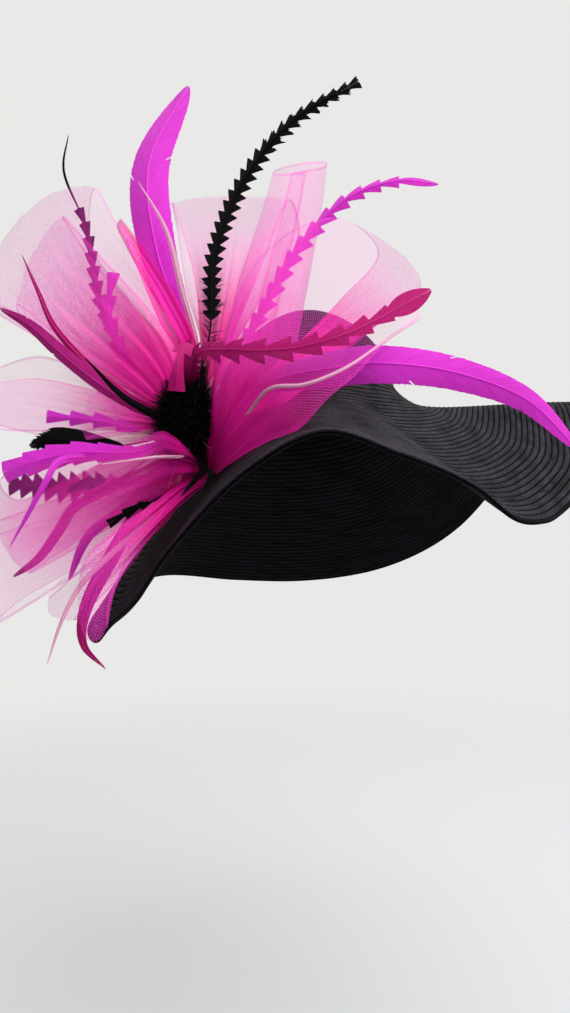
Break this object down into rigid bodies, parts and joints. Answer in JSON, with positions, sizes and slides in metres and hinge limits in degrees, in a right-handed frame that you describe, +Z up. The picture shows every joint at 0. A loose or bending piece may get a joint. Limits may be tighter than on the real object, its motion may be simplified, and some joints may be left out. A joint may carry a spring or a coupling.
{
  "type": "race day hat",
  "caption": "Wide-brimmed black sewn-braid hat in deep waves, trimmed at one side with looped magenta crin, notched and stripped feathers and a black hackle pad.",
  "frame": {"origin": "centre of the head opening, where the hat sits on a head", "axes": "+Z up as worn, -Y the way the wearer faces, +X the wearer's left"},
  "size_m": [0.5167, 0.507, 0.434],
  "materials": {
    "straw": "matte sewn straw braid",
    "rim_edge": "matte bound braid",
    "crin_net": "sheer woven crin",
    "hackle_black": "soft black hackle",
    "feather_black": "black feather",
    "feather_magenta": "dyed feather",
    "feather_wine": "dyed feather",
    "feather_pink": "dyed feather"
  },
  "bodies": {
    "root": {"straw_crown": "straw", "straw_brim": "straw", "brim_edge": "rim_edge", "hackle_pad": "hackle_black", "net_loop_upper_left": "crin_net", "net_loop_narrow": "crin_net", "net_loop_back": "crin_net", "net_loop_right": "crin_net", "net_loop_left": "crin_net", "net_loop_short": "crin_net", "net_loop_middle_left": "crin_net", "net_loop_lower_left": "crin_net", "net_loop_front": "crin_net", "net_loop_hem": "crin_net", "net_loop_rolled": "crin_net", "quill_black_spine": "feather_black", "quill_upper_right": "feather_magenta", "quill_across": "feather_wine", "quill_drooping": "feather_wine", "coque_upright": "feather_magenta", "biot_pink_upright": "feather_pink", "coque_long_right": "feather_magenta", "biot_pink_right": "feather_pink", "biot_wine_left": "feather_wine", "coque_left": "feather_magenta", "biot_black_left": "feather_black", "coque_black": "feather_black", "quill_flat_left": "feather_magenta", "quill_black_left": "feather_black", "biot_magenta_left": "feather_magenta", "quill_short_left": "feather_magenta", "coque_wine_lower": "feather_wine", "quill_black_short": "feather_black", "biot_wine_lower": "feather_wine", "biot_pink_lower": "feather_pink", "coque_lower": "feather_magenta", "biot_black_right": "feather_black", "biot_pink_left": "feather_pink", "quill_black_upper": "feather_black", "quill_upper_left": "feather_magenta"}
  },
  "joints": []
}
